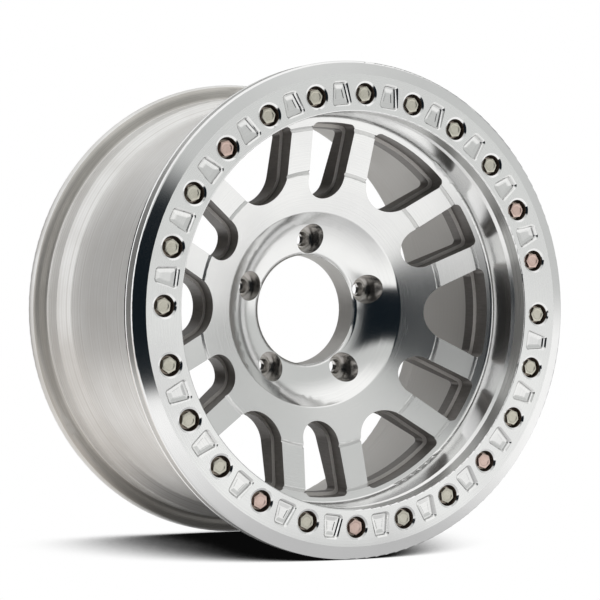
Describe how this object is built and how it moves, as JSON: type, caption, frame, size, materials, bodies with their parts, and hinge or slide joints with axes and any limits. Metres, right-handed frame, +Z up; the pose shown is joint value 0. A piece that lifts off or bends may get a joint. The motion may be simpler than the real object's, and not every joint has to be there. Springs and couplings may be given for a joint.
{
  "type": "off-road car wheel",
  "caption": "Bare machined aluminium off-road car wheel without a tyre, with paired spokes, a deep lip, an open hub bore and a clamp ring bolted round its outer rim.",
  "frame": {"origin": "centre of the hub bore in the plane of the hub mounting face", "axes": "+Y runs along the axle towards the vehicle, the outer face looks along -Y, +Z is up as the wheel stands, +X completes the right-handed frame"},
  "size_m": [0.4706, 0.256, 0.4706],
  "materials": {
    "machined_aluminium": "turned, uncoated",
    "brushed_aluminium": "turned and lightly brushed, uncoated",
    "zinc_plated_steel": "zinc plated",
    "bright_steel": "bright plated"
  },
  "bodies": {
    "root": {"wheel": "machined_aluminium", "clamp_ring": "brushed_aluminium", "ring_washers": "zinc_plated_steel", "ring_bolts": "zinc_plated_steel", "lug_nuts": "bright_steel"}
  },
  "joints": []
}
